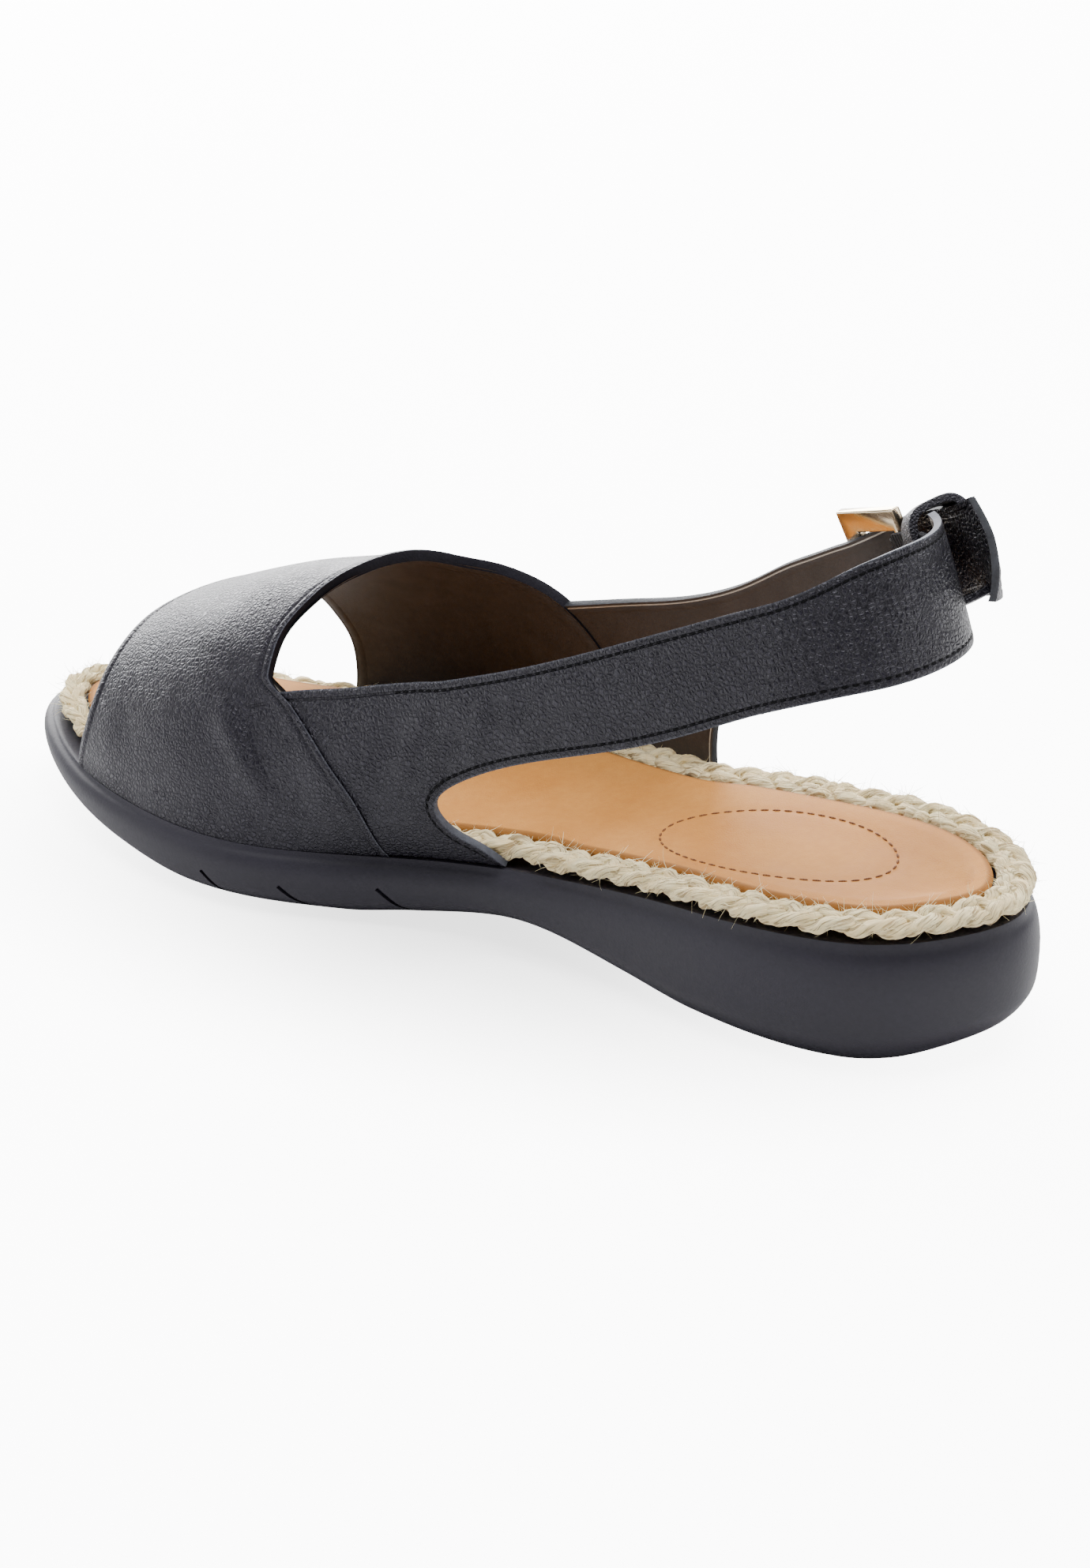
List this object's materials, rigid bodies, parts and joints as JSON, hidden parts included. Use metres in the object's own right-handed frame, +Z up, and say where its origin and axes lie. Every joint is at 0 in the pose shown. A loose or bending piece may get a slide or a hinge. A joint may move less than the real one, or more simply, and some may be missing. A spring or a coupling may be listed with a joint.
{
  "type": "slingback sandal",
  "caption": "Open-toe slingback sandal with a wide vamp, buckled heel strap, braided rope edge, padded footbed and shaped sole.",
  "frame": {"origin": "on the floor, in the middle of the heel's flat rest", "axes": "+X to the toe, +Y to the wearer's left, which is the inner side of this right shoe, +Z up"},
  "size_m": [0.2672, 0.0961, 0.1153],
  "materials": {
    "outsole": "matt charcoal moulded sole",
    "rope": "braided cream plant fibre, slightly fuzzy",
    "footbed": "tan lining leather with a stitched oval at the heel",
    "upper": "black pebbled leather with dark brown lining",
    "elastic": "ribbed black elastic",
    "keeper": "black leather",
    "buckle": "polished pale gold metal"
  },
  "bodies": {
    "root": {"outsole": "outsole", "rope_welt": "rope", "footbed": "footbed", "upper": "upper", "elastic_gore": "elastic", "keeper_loop": "keeper", "buckle_frame": "buckle", "buckle_prong": "buckle"}
  },
  "joints": []
}
